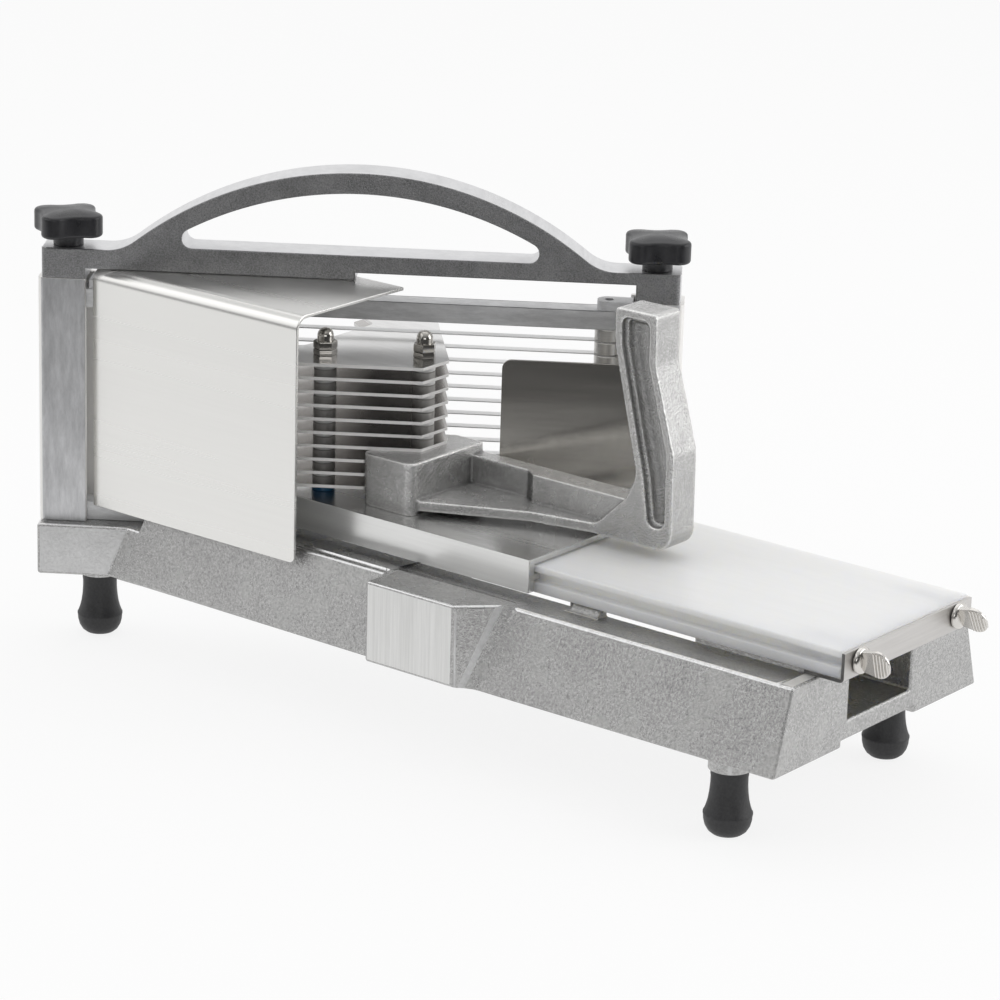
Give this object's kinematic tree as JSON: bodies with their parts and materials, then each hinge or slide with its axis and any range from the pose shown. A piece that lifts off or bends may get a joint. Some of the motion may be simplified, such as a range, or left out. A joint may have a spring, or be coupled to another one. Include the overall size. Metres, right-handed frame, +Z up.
{
  "type": "tomato slicer",
  "caption": "Hand-driven tomato slicer: a finned pusher slides along a board and drives fruit through level blades in a slanted frame on a cast base.",
  "frame": {"origin": "middle of the overall box, on the surface that the feet rest on", "axes": "+X along the track toward the operator, +Y across the track away from the guard, +Z up"},
  "size_m": [0.46, 0.2042, 0.2359],
  "materials": {
    "cast_metal": "as cast, blasted",
    "frame_metal": "as cast with ground edges",
    "sheet_steel": "satin",
    "polished_steel": "mirror",
    "blade_steel": "satin",
    "spacer_metal": "turned",
    "carriage_metal": "brushed",
    "fin_metal": "satin",
    "nut_steel": "polished",
    "fastener_steel": "plain",
    "white_plastic": "satin",
    "blue_plastic": "smooth",
    "black_plastic": "satin",
    "foot_rubber": "matt"
  },
  "bodies": {
    "frame": {"base": "cast_metal", "foot_1": "foot_rubber", "foot_2": "foot_rubber", "foot_3": "foot_rubber", "foot_4": "foot_rubber", "foot_studs": "fastener_steel", "post_near": "frame_metal", "post_far": "frame_metal", "post_screws": "fastener_steel", "arch": "frame_metal", "guard": "sheet_steel", "guard_screws": "fastener_steel", "top_bar": "frame_metal", "bottom_bar": "frame_metal", "tie_rods": "fastener_steel", "blade_1": "blade_steel", "blade_2": "blade_steel", "blade_3": "blade_steel", "blade_4": "blade_steel", "blade_5": "blade_steel", "blade_6": "blade_steel", "blade_7": "blade_steel", "blade_8": "blade_steel", "blade_9": "blade_steel", "blade_10": "blade_steel", "blade_11": "blade_steel", "blade_spacers_near": "spacer_metal", "blade_spacers_far": "spacer_metal", "board": "white_plastic", "end_plate": "sheet_steel"},
    "pusher": {"carriage": "carriage_metal", "handle": "cast_metal", "handle_screws": "fastener_steel", "fin_1": "fin_metal", "fin_2": "fin_metal", "fin_3": "fin_metal", "fin_4": "fin_metal", "fin_5": "fin_metal", "fin_6": "fin_metal", "fin_7": "fin_metal", "fin_8": "fin_metal", "fin_9": "fin_metal", "fin_10": "fin_metal", "fin_spacers_near": "spacer_metal", "fin_spacers_far": "spacer_metal", "fin_bolt_near": "fastener_steel", "fin_bolt_far": "fastener_steel", "nylon_spacer": "blue_plastic", "jam_nuts": "nut_steel", "cap_nuts": "nut_steel", "hand_shield": "polished_steel", "shield_screws": "fastener_steel"},
    "knob_1": {"knob_near": "black_plastic", "knob_stud_near": "fastener_steel"},
    "knob_2": {"knob_far": "black_plastic", "knob_stud_far": "fastener_steel"},
    "thumb_1": {"thumb_screw_near": "nut_steel"},
    "thumb_2": {"thumb_screw_far": "nut_steel"}
  },
  "joints": [
    {"name": "pusher_slide", "type": "slide", "parent": "frame", "child": "pusher", "axis": [1, 0, 0], "range_m": [-0.032, 0.158]},
    {"name": "knob_near_turn", "type": "hinge", "parent": "frame", "child": "knob_1", "pos_m": [-0.20421, -0.08194, 0.1947], "axis": [0, 0, 1], "continuous": true},
    {"name": "knob_far_turn", "type": "hinge", "parent": "frame", "child": "knob_2", "pos_m": [0.01991, 0.07289, 0.1947], "axis": [0, 0, 1], "continuous": true},
    {"name": "thumb_near_turn", "type": "hinge", "parent": "frame", "child": "thumb_1", "pos_m": [0.21475, -0.04253, 0.0839], "axis": [1, 0, 0], "continuous": true},
    {"name": "thumb_far_turn", "type": "hinge", "parent": "frame", "child": "thumb_2", "pos_m": [0.21475, 0.03347, 0.0839], "axis": [1, 0, 0], "continuous": true}
  ]
}
